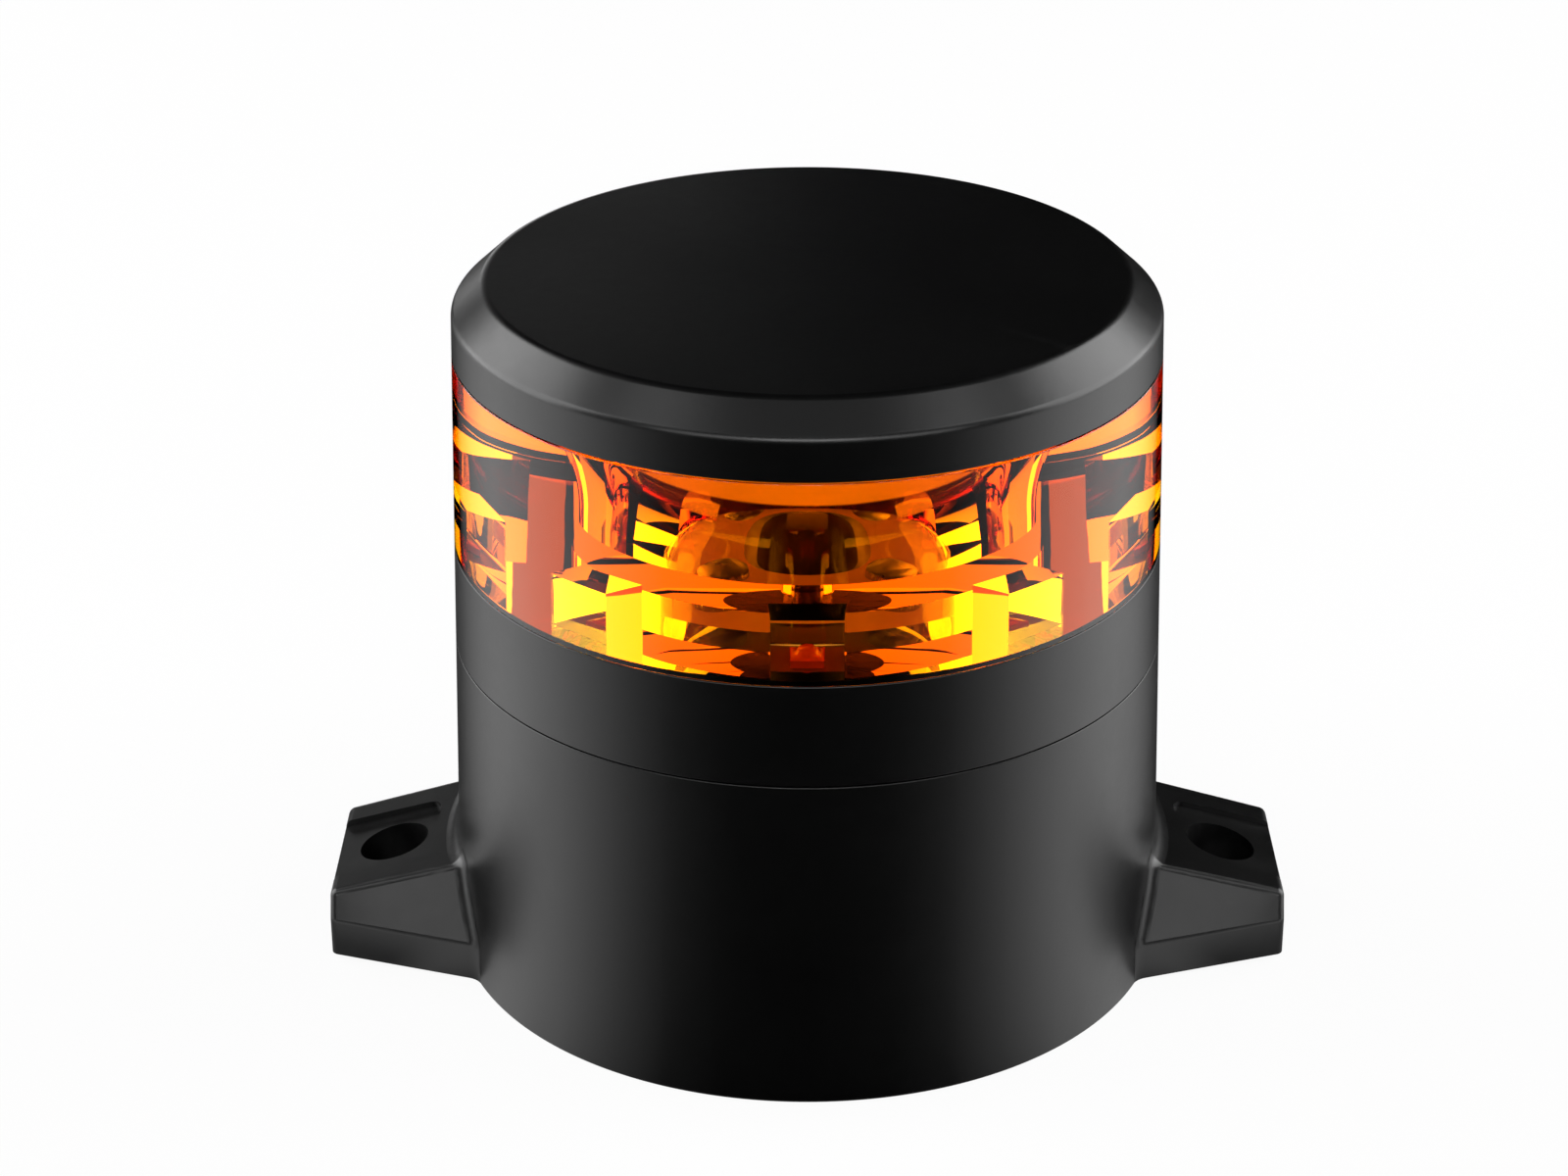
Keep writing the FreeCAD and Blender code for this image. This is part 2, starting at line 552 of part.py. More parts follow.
def make_collar():
    """The collar with its lens groove, heat-sink ledge, spigot and screw bosses, and its seal and screws."""
    body = make_body("collar_ring")
    turn(body, "collar", [
        ("collar_low_radius", "collar_low"), ("lens_low_radius", "lens_low"),
        ("lens_seat_radius", "lens_low"), ("lens_seat_radius", "lens_seal_low"),
        ("sink_radius + slip", "lens_seal_low"),
        ("sink_radius + slip", "sink_seat"), ("ledge_radius", "sink_seat"), ("ledge_radius", "ledge_low"),
        ("spigot_radius - spigot_wall", "ledge_low"), ("spigot_radius - spigot_wall", "spigot_low"),
        ("spigot_radius", "spigot_low"), ("spigot_radius", "collar_low"),
    ])
    pegs(body, "collar_bosses", "collar_screw_circle", "boss_radius", "lug_high", "ledge_low", "screw_count")
    pegs(body, "collar_pilots", "collar_screw_circle", "pilot_radius", "lug_high",
         "lug_low + collar_screw_length + hole_slip", "screw_count", "Groove")
    pegs(body, "sink_pilots", "sink_screw_circle", "pilot_radius",
         "sink_top - head_well - sink_screw_length", "sink_seat", "screw_count", "Groove", "sink_screw_turn")
    seam = edges_where(body.Tip, on_circle("collar_low_radius", "collar_low"))
    bevel_edges(body, "collar_edge", seam, "edge_bevel")
    turn(make_body("collar_seal"), "collar_gasket",
         ring("base_height", "collar_low", "bore_radius + slip", "collar_low_radius - seal_setback"))
    screws("collar_screws", "collar_screw_circle", "lug_low", True, "collar_screw_length")


def make_light_engine():
    """Heat sink, pad, LED board, LEDs, the post under the lens and their screws."""
    body = make_body("heat_sink")
    turn(body, "sink_disc", ring("sink_seat", "sink_top", "tie_bore", "sink_radius"))
    block(body, "fin", "fin_inner", "fin_outer", "fin_half", "sink_seat - fin_drop", "fin_drop", "fin_count")
    at, well = "sink_screw_circle", "sink_top - head_well"
    turn(body, "sink_wells", [
        (at, "sink_seat"), (at + " + screw_hole", "sink_seat"), (at + " + screw_hole", well),
        (at + " + head_hole", well), (at + " + head_hole", "sink_top"), (at, "sink_top"),
    ], kind="Groove", axis=at, count="screw_count", spin="sink_screw_turn")
    pegs(body, "sink_threads", "led_board_screw_circle", "pilot_radius", "sink_seat", "sink_top",
         "screw_count", "Groove", "led_screw_turn")
    pegs(body, "sink_wire_holes", "wire_circle", "wire_hole", "sink_seat", "sink_top", "pair", "Groove",
         "wire_turn")
    screws("heat_sink_screws", "sink_screw_circle", well, False, "sink_screw_length", "sink_screw_turn")
    body = make_body("thermal_pad")
    turn(body, "pad", ring("sink_top", "pad_top", "pad_inner", "sink_radius"))
    pegs(body, "pad_wire_holes", "wire_circle", "wire_hole", "sink_top", "pad_top", "pair", "Groove",
         "wire_turn")
    body = make_body("led_board")
    turn(body, "led_disc", ring("pad_top", "led_floor", "led_board_hole", "sink_radius"))
    pegs(body, "led_board_holes", "led_board_screw_circle", "screw_hole", "pad_top", "led_floor",
         "screw_count", "Groove", "led_screw_turn")
    screws("led_board_screws", "led_board_screw_circle", "led_floor", False, "board_screw_length",
           "led_screw_turn")
    body = make_body("leds")
    block(body, "package", "led_circle - led_half", "led_circle + led_half", "led_half", "led_floor",
          "led_high", "led_count", "led_turn")
    dome_low, dome_top = "led_floor + led_high", "led_floor + led_high + led_dome_high"
    at = "led_circle"
    turn(body, "dome", [
        (at, dome_low), (at + " + led_dome", dome_low), (at + " + led_dome_top", dome_top), (at, dome_top),
    ], axis=at, count="led_count", spin="led_turn")
    turn(make_body("lens_post"), "post", ring("sink_top", "hollow_top", "tie_bore", "post_radius"))
    turn(make_body("tie_screw"), "tie", [
        ("0", "sink_seat - tie_head"), ("tie_head_radius", "sink_seat - tie_head"),
        ("tie_head_radius", "sink_seat"), ("tie_radius", "sink_seat"),
        ("tie_radius", "boss_low + tie_reach"), ("0", "boss_low + tie_reach"),
    ])


def make_lens():
    """The solid amber drum: funnel above, hollow and LED pockets below, spigots for collar and cap."""
    body = make_body("outer_lens")
    turn(body, "lens_drum", [
        ("tie_bore", "hollow_top"), ("hollow_radius", "hollow_top"), ("hollow_radius", "lens_foot"),
        ("lens_spigot_inner", "lens_foot"), ("lens_spigot_inner", "lens_spigot_low"),
        ("lens_spigot", "lens_spigot_low"), ("lens_spigot", "lens_low"), ("lens_low_radius", "lens_low"),
        ("lens_top_radius", "lens_top"), ("rim_spigot", "lens_top"), ("rim_spigot", "rim_top"),
        ("rim_inner", "rim_top"), ("rim_inner", "funnel_top"), ("funnel_rim", "funnel_top"),
        ("funnel_neck", "funnel_start"), ("funnel_neck", "funnel_floor + funnel_step"),
        ("funnel_flat", "funnel_floor"), ("tie_bore", "funnel_floor"),
    ], arcs={13: ("funnel_radius", 1)})
    block(body, "led_pocket", "led_circle - pocket_deep", "led_circle + pocket_deep", "pocket_half",
          "lens_foot", "pocket_high", "led_count", "led_turn", kind="Pocket")
    turn(make_body("lens_seal_lower"), "lower_seal",
         ring("lens_seal_low", "lens_spigot_low", "lens_spigot_inner + slip", "lens_spigot"))
    turn(make_body("lens_seal_upper"), "upper_seal",
         ring("rim_top", "cap_seat", "rim_inner + slip", "rim_spigot"))


def make_cap():
    """The cap: flat top, bevelled shoulder, short skirt, ribs and the boss that the tie screw pulls on."""
    body = make_body("top_cap")
    turn(body, "cap", [
        ("0", "cap_top"), ("cap_flat_radius", "cap_top"), ("shoulder_radius", "shoulder_level"),
        ("cap_low_radius", "cap_low"), ("skirt_inner", "cap_low"), ("skirt_inner", "cap_seat"),
        ("cap_cavity", "cap_seat"), ("cap_cavity", "cap_ceiling"), ("cap_boss", "cap_ceiling"),
        ("cap_boss", "boss_low"), ("insert_radius + hole_slip", "boss_low"),
        ("insert_radius + hole_slip", "boss_low + insert_length"), ("0", "boss_low + insert_length"),
    ])
    top = edges_where(body.Tip, on_circle("cap_flat_radius", "cap_top"))
    round_edges(body, "top_edge", top, "cap_top_round")
    shoulder = edges_where(body.Tip, on_circle("shoulder_radius", "shoulder_level"))
    round_edges(body, "shoulder_edge", shoulder, "shoulder_round")
    block(body, "rib", "insert_radius + slip", "cap_cavity + slip", "rib_half", "cap_seat",
          "cap_ceiling - cap_seat", "rib_count")
    turn(make_body("cap_insert"), "insert",
         ring("boss_low", "boss_low + insert_length - slip", "tie_bore", "insert_radius"))


make_base_housing()
make_base_plate()
make_plate_fittings()
make_driver()
make_collar()
make_light_engine()
make_lens()
make_cap()
doc.recompute()

for thing in doc.Objects:
    if "Invalid" in thing.State or "Error" in thing.State:
        raise RuntimeError(f"{thing.Label} failed: {thing.State}")
os.makedirs("parts", exist_ok=True)
for piece in pieces:
    if piece.Shape.isNull() or not piece.Shape.isValid():
        raise RuntimeError(f"{piece.Label} has no valid shape")
for piece in pieces:
    piece.Shape.exportStep(f"parts/{piece.Label}.step")
    print(f"{piece.Label}: {len(piece.Shape.Solids)} solids, {piece.Shape.Volume:.1f} mm3")
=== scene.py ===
"""LED beacon: moulded black base with two ears, collar, solid amber drum lens and cap, in a plain studio.

Metres, +Z up. The origin is the centre of the foot, and the ears lie along X.
"""
import bpy
import json
import math
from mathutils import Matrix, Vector


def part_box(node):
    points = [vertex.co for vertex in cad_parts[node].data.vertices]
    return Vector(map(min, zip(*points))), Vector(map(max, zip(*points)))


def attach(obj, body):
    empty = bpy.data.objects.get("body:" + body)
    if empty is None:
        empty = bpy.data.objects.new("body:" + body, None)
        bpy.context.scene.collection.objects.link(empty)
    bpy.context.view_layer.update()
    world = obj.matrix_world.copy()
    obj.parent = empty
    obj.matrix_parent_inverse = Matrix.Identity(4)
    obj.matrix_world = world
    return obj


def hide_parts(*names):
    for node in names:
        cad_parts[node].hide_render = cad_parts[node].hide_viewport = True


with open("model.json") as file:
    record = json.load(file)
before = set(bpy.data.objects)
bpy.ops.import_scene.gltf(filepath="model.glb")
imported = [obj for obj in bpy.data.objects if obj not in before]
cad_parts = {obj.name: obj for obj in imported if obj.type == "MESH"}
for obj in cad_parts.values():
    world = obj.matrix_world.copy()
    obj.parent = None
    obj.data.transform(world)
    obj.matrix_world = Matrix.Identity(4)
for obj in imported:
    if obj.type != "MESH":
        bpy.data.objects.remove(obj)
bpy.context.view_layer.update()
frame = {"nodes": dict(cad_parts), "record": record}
cad = frame["nodes"]
node_slots = {entry["node"]: entry["material_slot"] for entry in frame["record"]["subparts"]}

# Levels and radii read from the frame
MM = 0.001
foot_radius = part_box("base_housing")[1].y
base_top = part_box("base_housing")[1].z
collar_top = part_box("collar_ring")[1].z
lens_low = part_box("outer_lens")[0].z
rim_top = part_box("outer_lens")[1].z
cap_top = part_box("top_cap")[1].z
led_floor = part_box("led_board")[1].z

# Sizes of the mouldings that the frame's boxes don't give
DRAFT = math.radians(1.5)
SEAM_GAP = 0.4 * MM
CAP_GAP = 0.1 * MM
RIM_HEIGHT = 2.7 * MM
SHOULDER_DROP = 3.7 * MM
FLAT_RADIUS = 39.7 * MM
CAP_TOP_ROUND = 1.6 * MM
SHOULDER_ROUND = 1.4 * MM
EDGE_ROUND = 0.15 * MM
SEAM_LIP = 0.25 * MM
SEAM_LIP_RADIUS = 43.2 * MM
LIP_ROUND = 0.2 * MM
SKIRT_INNER = 41.5 * MM
CAP_THICKNESS = 2.7 * MM
BORE_RADIUS = 41.5 * MM
BASE_TOP_ROUND = 0.35 * MM
PLATE_RECESS = 43.2 * MM
COLLAR_SPIGOT = 41.3 * MM
LENS_SEAT = 42.1 * MM
TIE_BORE = 2.15 * MM
HOLLOW_RADIUS = 19 * MM
HOLLOW_RISE = 2.9 * MM
FOOT_GAP = 0.4 * MM
LENS_SPIGOT = 41.9 * MM
LENS_SPIGOT_INNER = 39 * MM
RIM_SPIGOT = 41.2 * MM
RIM_INNER = 38.5 * MM
FUNNEL_DROP = 2 * MM
FUNNEL_RISE = 19.15 * MM
FUNNEL_RADIUS = 19.5 * MM
FUNNEL_NECK = 18.5 * MM
FUNNEL_DEPTH = 3 * MM
FUNNEL_STEP = 1 * MM
FUNNEL_FLAT = 12 * MM
LED_COUNT = 8
LED_CIRCLE = 31 * MM
# Dark red painted shade on the board under the LEDs: where it begins and how soft its edge is
PAINTED_SHADE_RADIUS = 27 * MM
PAINTED_SHADE_EDGE = 0.2 * MM
GLOW_EDGE = 0.5 * MM
# Strength of the board's painted glow: it shines though it is no lamp
BOARD_PAINTED_GLOW = 0.7
POCKET_SIZE = (7 * MM, 8 * MM, 6.5 * MM)
POCKET_OVERCUT = 2 * MM

TURN_STEPS = 256
ARC_STEPS = 8
FUNNEL_STEPS = 32
SMOOTH_ANGLE = math.radians(32)
SLACK = 0.05 * MM
MERGE_DISTANCE = 0.002 * MM
TOUCH_DISTANCE = 0.01 * MM
POLE_RADIUS = 0.0008 * MM

lens_top = rim_top - RIM_HEIGHT
cap_low = lens_top + CAP_GAP
collar_low = base_top + SEAM_GAP
cap_ceiling = cap_top - CAP_THICKNESS


def drum_radius(level):
    """Radius of the beacon's drafted outer wall at a level."""
    return foot_radius - level * math.tan(DRAFT)


# Modelling


def deselect():
    bpy.ops.object.select_all(action="DESELECT")


def pick(piece):
    """Make a piece the only one selected."""
    deselect()
    piece.select_set(True)
    bpy.context.view_layer.objects.active = piece


def arc(centre, radius, start, end, steps):
    """Points of an arc in (radius, height), from a start angle to an end angle in degrees."""
    angles = [math.radians(start + (end - start) * k / steps) for k in range(steps + 1)]
    return [(centre[0] + radius * math.cos(a), centre[1] + radius * math.sin(a)) for a in angles]


def rounded(before, corner, after, radius):
    """Points of a round of a radius that stands in for a corner of an outline."""
    a, c, b = Vector(before), Vector(corner), Vector(after)
    to_a, to_b = (a - c).normalized(), (b - c).normalized()
    half = to_a.angle(to_b) / 2
    centre = c + (to_a + to_b).normalized() * (radius / math.sin(half))
    first = c + to_a * (radius / math.tan(half)) - centre
    last = c + to_b * (radius / math.tan(half)) - centre
    full = first.angle(last)
    points = []
    for k in range(ARC_STEPS + 1):
        share = k / ARC_STEPS
        step = (first * math.sin((1 - share) * full) + last * math.sin(share * full)) / math.sin(full)
        points.append(tuple(centre + step))
    return points


def soften(outline, rounds):
    """An outline with the corners in rounds, index: radius, turned into arcs."""
    points = []
    for i, corner in enumerate(outline):
        if i in rounds:
            points += rounded(outline[i - 1], corner, outline[(i + 1) % len(outline)], rounds[i])
        else:
            points.append(corner)
    return points


def apply_modifier(piece, modifier):
    pick(piece)
    bpy.ops.object.modifier_apply(modifier=modifier.name)


def smooth(piece):
    """Smooth all but the real edges, with flat faces kept flat beside their rounds."""
    pick(piece)
    bpy.ops.object.shade_smooth_by_angle(angle=SMOOTH_ANGLE)
    weighted = piece.modifiers.new("flat_faces", "WEIGHTED_NORMAL")
    weighted.keep_sharp = True
    apply_modifier(piece, weighted)


def turned(name, outline, closed=True):
    """Extrude a ring along an outline of (radius, height), and back to its start if closed."""
    deselect()
    radius, level = outline[0]
    bpy.ops.mesh.primitive_circle_add(vertices=TURN_STEPS, radius=radius, location=(0, 0, level))
    piece = bpy.context.object
    piece.name = piece.data.name = name
    bpy.ops.object.transform_apply(location=True)
    bpy.ops.object.mode_set(mode="EDIT")
    bpy.ops.mesh.select_all(action="SELECT")
    for new_radius, new_level in outline[1:] + (outline[:1] if closed else []):
        bpy.ops.mesh.extrude_edges_move(TRANSFORM_OT_translate={"value": (0, 0, new_level - level)})
        share = new_radius / radius
        bpy.ops.transform.resize(value=(share, share, 1), center_override=(0, 0, new_level))
        radius, level = new_radius, new_level
    bpy.ops.mesh.select_all(action="SELECT")
    bpy.ops.mesh.remove_doubles(threshold=MERGE_DISTANCE)
    bpy.ops.mesh.normals_make_consistent(inside=False)
    bpy.ops.object.mode_set(mode="OBJECT")
    return piece


def merged_copy(node):
    """A node's own shape as one merged mesh."""
    deselect()
    piece = cad[node].copy()
    piece.data = cad[node].data.copy()
    piece.name = piece.data.name = node + "_shape"
    piece.parent = None
    for key in list(piece.keys()):
        del piece[key]
    piece.data.materials.clear()
    bpy.context.scene.collection.objects.link(piece)
    pick(piece)
    bpy.ops.object.mode_set(mode="EDIT")
    bpy.ops.mesh.select_all(action="SELECT")
    bpy.ops.mesh.remove_doubles(threshold=MERGE_DISTANCE)
    bpy.ops.object.mode_set(mode="OBJECT")
    return piece


def delete_faces(piece, is_outer):
    """Delete the faces whose corners, as lists of radii and levels, pass a test."""
    pick(piece)
    bpy.ops.object.mode_set(mode="EDIT")
    bpy.ops.mesh.select_mode(type="FACE")
    bpy.ops.mesh.select_all(action="DESELECT")
    bpy.ops.object.mode_set(mode="OBJECT")
    for face in piece.data.polygons:
        corners = [piece.data.vertices[i].co for i in face.vertices]
        face.select = is_outer([math.hypot(c.x, c.y) for c in corners], [c.z for c in corners])
    bpy.ops.object.mode_set(mode="EDIT")
    bpy.ops.mesh.delete(type="FACE")
    bpy.ops.mesh.select_mode(type="VERT")
    bpy.ops.object.mode_set(mode="OBJECT")


def corner_places(mesh):
    """Each corner of a mesh with a key made of its face's centre and its own place."""
    for face in mesh.polygons:
        for i in face.loop_indices:
            corner = mesh.vertices[mesh.loops[i].vertex_index].co
            yield i, tuple(round(value, 6) for value in (*face.center, *corner))


def keep_normals(piece, node):
    """Give a merged copy the normals that the node's own shape has at the same corners."""
    mesh = cad[node].data
    known = {key: mesh.corner_normals[i].vector.copy() for i, key in corner_places(mesh)}
    normals = [Vector()] * len(piece.data.loops)
    for i, key in corner_places(piece.data):
        normals[i] = known.get(key, Vector())
    pick(piece)
    bpy.ops.object.shade_smooth()
    piece.data.normals_split_custom_set(normals)


def reskinned(node, outline, is_outer):
    """A node's own shape with its round outside made again as one finely turned skin."""
    skin = turned(node + "_skin", outline, closed=False)
    smooth(skin)
    piece = merged_copy(node)
    delete_faces(piece, is_outer)
    keep_normals(piece, node)
    blend = piece.modifiers.new("skin_normals", "DATA_TRANSFER")
    blend.object = skin
    blend.use_loop_data = True
    blend.data_types_loops = {"CUSTOM_NORMAL"}
    blend.loop_mapping = "POLYINTERP_NEAREST"
    blend.use_max_distance = True
    blend.max_distance = TOUCH_DISTANCE
    apply_modifier(piece, blend)
    pick(piece)
    skin.select_set(True)
    bpy.ops.object.join()
    return piece


def settle(piece, node):
    """Put a finished piece in a node's place on the beacon, with the material of its slot."""
    piece.data.materials.clear()
    piece.data.materials.append(finishes[node_slots[node]])
    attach(piece, "root")
    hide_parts(node)


# Materials

WORN_SHADE = (0.05, 0.05, 0.05)
DUST_SHADE = (0.35, 0.33, 0.3)
DUST_ROUGHNESS = 0.4


def new_group(name, inputs, outputs):
    """A shader node group with named number inputs and outputs."""
    group = bpy.data.node_groups.new(name, "ShaderNodeTree")
    for socket in inputs:
        group.interface.new_socket(name=socket, in_out="INPUT", socket_type="NodeSocketFloat")
    for socket in outputs:
        group.interface.new_socket(name=socket, in_out="OUTPUT", socket_type="NodeSocketFloat")
    return group, group.nodes.new("NodeGroupInput"), group.nodes.new("NodeGroupOutput")


def noise(tree, scale, detail=4.0, roughness=0.55):
    """A noise in object coordinates; a scale of 1000 has one blot to a millimetre."""
    place = tree.nodes.new("ShaderNodeTexCoord")
    texture = tree.nodes.new("ShaderNodeTexNoise")
    texture.inputs["Scale"].default_value = scale
    texture.inputs["Detail"].default_value = detail
    texture.inputs["Roughness"].default_value = roughness
    tree.links.new(place.outputs["Object"], texture.inputs["Vector"])
    return texture


def spread(tree, value, low, high):
    """A value between low and high stretched over 0 to 1 and held there."""
    stretch = tree.nodes.new("ShaderNodeMapRange")
    stretch.inputs["From Min"].default_value = low
    stretch.inputs["From Max"].default_value = high
    tree.links.new(value, stretch.inputs["Value"])
    return stretch.outputs["Result"]


def maths(tree, operation, first, second):
    """One sum of two values, each a socket or a number."""
    node = tree.nodes.new("ShaderNodeMath")
    node.operation = operation
    for socket, value in zip(node.inputs, (first, second)):
        if isinstance(value, (int, float)):
            socket.default_value = value
        else:
            tree.links.new(value, socket)
    return node.outputs["Value"]


def make_grain_group():
    """Fine bumps of a moulded or cast surface, with broad unevenness of its shade."""
    group, given, made = new_group("surface_grain", ["Grain Size"], ["Height", "Shade"])
    fine = noise(group, 1000)
    group.links.new(given.outputs["Grain Size"], fine.inputs["Scale"])
    broad = noise(group, 60, detail=3)
    group.links.new(fine.outputs["Fac"], made.inputs["Height"])
    group.links.new(spread(group, broad.outputs["Fac"], 0.3, 0.7), made.inputs["Shade"])
    return group


def make_handling_group():
    """Where hands have rubbed a surface: broad smears broken up by small ones."""
    group, _, made = new_group("handling", [], ["Rub"])
    smears = noise(group, 45, detail=2)
    spots = noise(group, 420, detail=5, roughness=0.7)
    both = maths(group, "MULTIPLY", smears.outputs["Fac"], spots.outputs["Fac"])
    group.links.new(spread(group, both, 0.15, 0.4), made.inputs["Rub"])
    return group


def make_dust_group():
    """Fine dust that settles on faces that look upwards."""
    group, given, made = new_group("settled_dust", ["Amount"], ["Dust"])
    face = group.nodes.new("ShaderNodeNewGeometry")
    split = group.nodes.new("ShaderNodeSeparateXYZ")
    group.links.new(face.outputs["Normal"], split.inputs["Vector"])
    up = spread(group, split.outputs["Z"], 0.6, 1.0)
    specks = noise(group, 1600, detail=6, roughness=0.75)
    patchy = maths(group, "MULTIPLY", up, spread(group, specks.outputs["Fac"], 0.5, 0.8))
    group.links.new(maths(group, "MULTIPLY", patchy, given.outputs["Amount"]), made.inputs["Dust"])
    return group


def make_wear_group():
    """Edges rubbed a little lighter and smoother than the faces beside them."""
    group, given, made = new_group("edge_wear", ["Amount"], ["Wear"])
    face = group.nodes.new("ShaderNodeNewGeometry")
    edges = spread(group, face.outputs["Pointiness"], 0.52, 0.62)
    broken = noise(group, 300, detail=4)
    patchy = maths(group, "MULTIPLY", edges, spread(group, broken.outputs["Fac"], 0.4, 0.65))
    group.links.new(maths(group, "MULTIPLY", patchy, given.outputs["Amount"]), made.inputs["Wear"])
    return group


groups = {
    "grain": make_grain_group(),
    "handling": make_handling_group(),
    "dust": make_dust_group(),
    "wear": make_wear_group(),
}


def use_group(tree, name, **values):
    """A node group put into a material, with its inputs set."""
    node = tree.nodes.new("ShaderNodeGroup")
    node.node_tree = groups[name]
    for key, value in values.items():
        node.inputs[key.replace("_", " ")].default_value = value
    return node


def blend_colour(tree, share, first, second):
    """One colour shaded into another by a share; each is a socket or three numbers."""
    mix = tree.nodes.new("ShaderNodeMix")
    mix.data_type = "RGBA"
    tree.links.new(share, mix.inputs["Factor"])
    for socket, colour in zip((mix.inputs[6], mix.inputs[7]), (first, second)):
        if isinstance(colour, tuple):
            socket.default_value = (*colour, 1)
        else:
            tree.links.new(colour, socket)
    return mix.outputs[2]


def new_material(name):
    material = bpy.data.materials.new(name)
    material.use_nodes = True
    tree = material.node_tree
    return material, tree, tree.nodes["Principled BSDF"]


def surface(name, dark, light, roughness, grain, depth, dust=0.0, wear=0.0, metal=0.0):
    """A moulded, cast or painted surface between two shades and two roughnesses, with its grain."""
    material, tree, shader = new_material(name)
    link = tree.links.new
    bumps = use_group(tree, "grain", Grain_Size=grain)
    hands = use_group(tree, "handling")
    settled = use_group(tree, "dust", Amount=dust)
    rubbed = use_group(tree, "wear", Amount=wear)
    shade = blend_colour(tree, bumps.outputs["Shade"], dark, light)
    shade = blend_colour(tree, rubbed.outputs["Wear"], shade, WORN_SHADE)
    shade = blend_colour(tree, settled.outputs["Dust"], shade, DUST_SHADE)
    link(shade, shader.inputs["Base Color"])
    span = maths(tree, "MULTIPLY", hands.outputs["Rub"], roughness[1] - roughness[0])
    dusty = maths(tree, "MULTIPLY", settled.outputs["Dust"], DUST_ROUGHNESS)
    link(maths(tree, "ADD", maths(tree, "ADD", span, roughness[0]), dusty), shader.inputs["Roughness"])
    relief = tree.nodes.new("ShaderNodeBump")
    relief.inputs["Strength"].default_value = 1.0
    relief.inputs["Distance"].default_value = depth
    link(bumps.outputs["Height"], relief.inputs["Height"])
    link(relief.outputs["Normal"], shader.inputs["Normal"])
    shader.inputs["Metallic"].default_value = metal
    return material


def amber_plastic():
    """Clear amber through and through: the colour deepens with the thickness looked through."""
    material, tree, shader = new_material("amber_lens")
    shader.inputs["Base Color"].default_value = (1, 1, 1, 1)
    shader.inputs["Roughness"].default_value = 0.0
    shader.inputs["Transmission Weight"].default_value = 1.0
    shader.inputs["IOR"].default_value = 1.49
    ripple = tree.nodes.new("ShaderNodeBump")
    ripple.inputs["Strength"].default_value = 1.0
    ripple.inputs["Distance"].default_value = 0.02 * MM
    tree.links.new(noise(tree, 90, detail=1).outputs["Fac"], ripple.inputs["Height"])
    tree.links.new(ripple.outputs["Normal"], shader.inputs["Normal"])
    body = tree.nodes.new("ShaderNodeVolumeAbsorption")
    body.inputs["Color"].default_value = (0.993, 0.86, 0.0, 1)
    body.inputs["Density"].default_value = 200
    tree.links.new(body.outputs["Volume"], tree.nodes["Material Output"].inputs["Volume"])
    return material


def board_with_painted_glow():
    """White solder mask with a painted glow, a red-brown painted middle, and dark red painted shade under
    the LEDs.
    """
    material = surface("board_white", (0.86, 0.86, 0.84), (0.93, 0.93, 0.91), (0.35, 0.5), 600, 0.01 * MM)
    tree = material.node_tree
    shader = tree.nodes["Principled BSDF"]
    place = tree.nodes.new("ShaderNodeTexCoord")
    split = tree.nodes.new("ShaderNodeSeparateXYZ")
    tree.links.new(place.outputs["Object"], split.inputs["Vector"])
    squares = [maths(tree, "MULTIPLY", split.outputs[axis], split.outputs[axis]) for axis in "XY"]
    radius = maths(tree, "SQRT", maths(tree, "ADD", *squares), 0)
    # Painted middle of the board: tinted red-brown, with a deeper painted glow
    middle = spread(tree, radius, HOLLOW_RADIUS + GLOW_EDGE, HOLLOW_RADIUS - GLOW_EDGE)
    # Painted shade: dark red board under the LEDs, where no glow is painted
    painted_shade_under_leds = spread(tree, radius, PAINTED_SHADE_RADIUS - PAINTED_SHADE_EDGE, PAINTED_SHADE_RADIUS + PAINTED_SHADE_EDGE)
    white = shader.inputs["Base Color"].links[0].from_socket
    painted_tint = blend_colour(tree, middle, white, (0.3, 0.05, 0.012))
    tree.links.new(blend_colour(tree, painted_shade_under_leds, painted_tint, (0.2, 0.03, 0.015)), shader.inputs["Base Color"])
    # Painted glow, which the board gives out though it is no lamp
    glow = blend_colour(tree, middle, (1.0, 0.5, 0.16), (0.5, 0.14, 0.02))
    tree.links.new(blend_colour(tree, painted_shade_under_leds, glow, (0, 0, 0)), shader.inputs["Emission Color"])
    shader.inputs["Emission Strength"].default_value = BOARD_PAINTED_GLOW
    return material


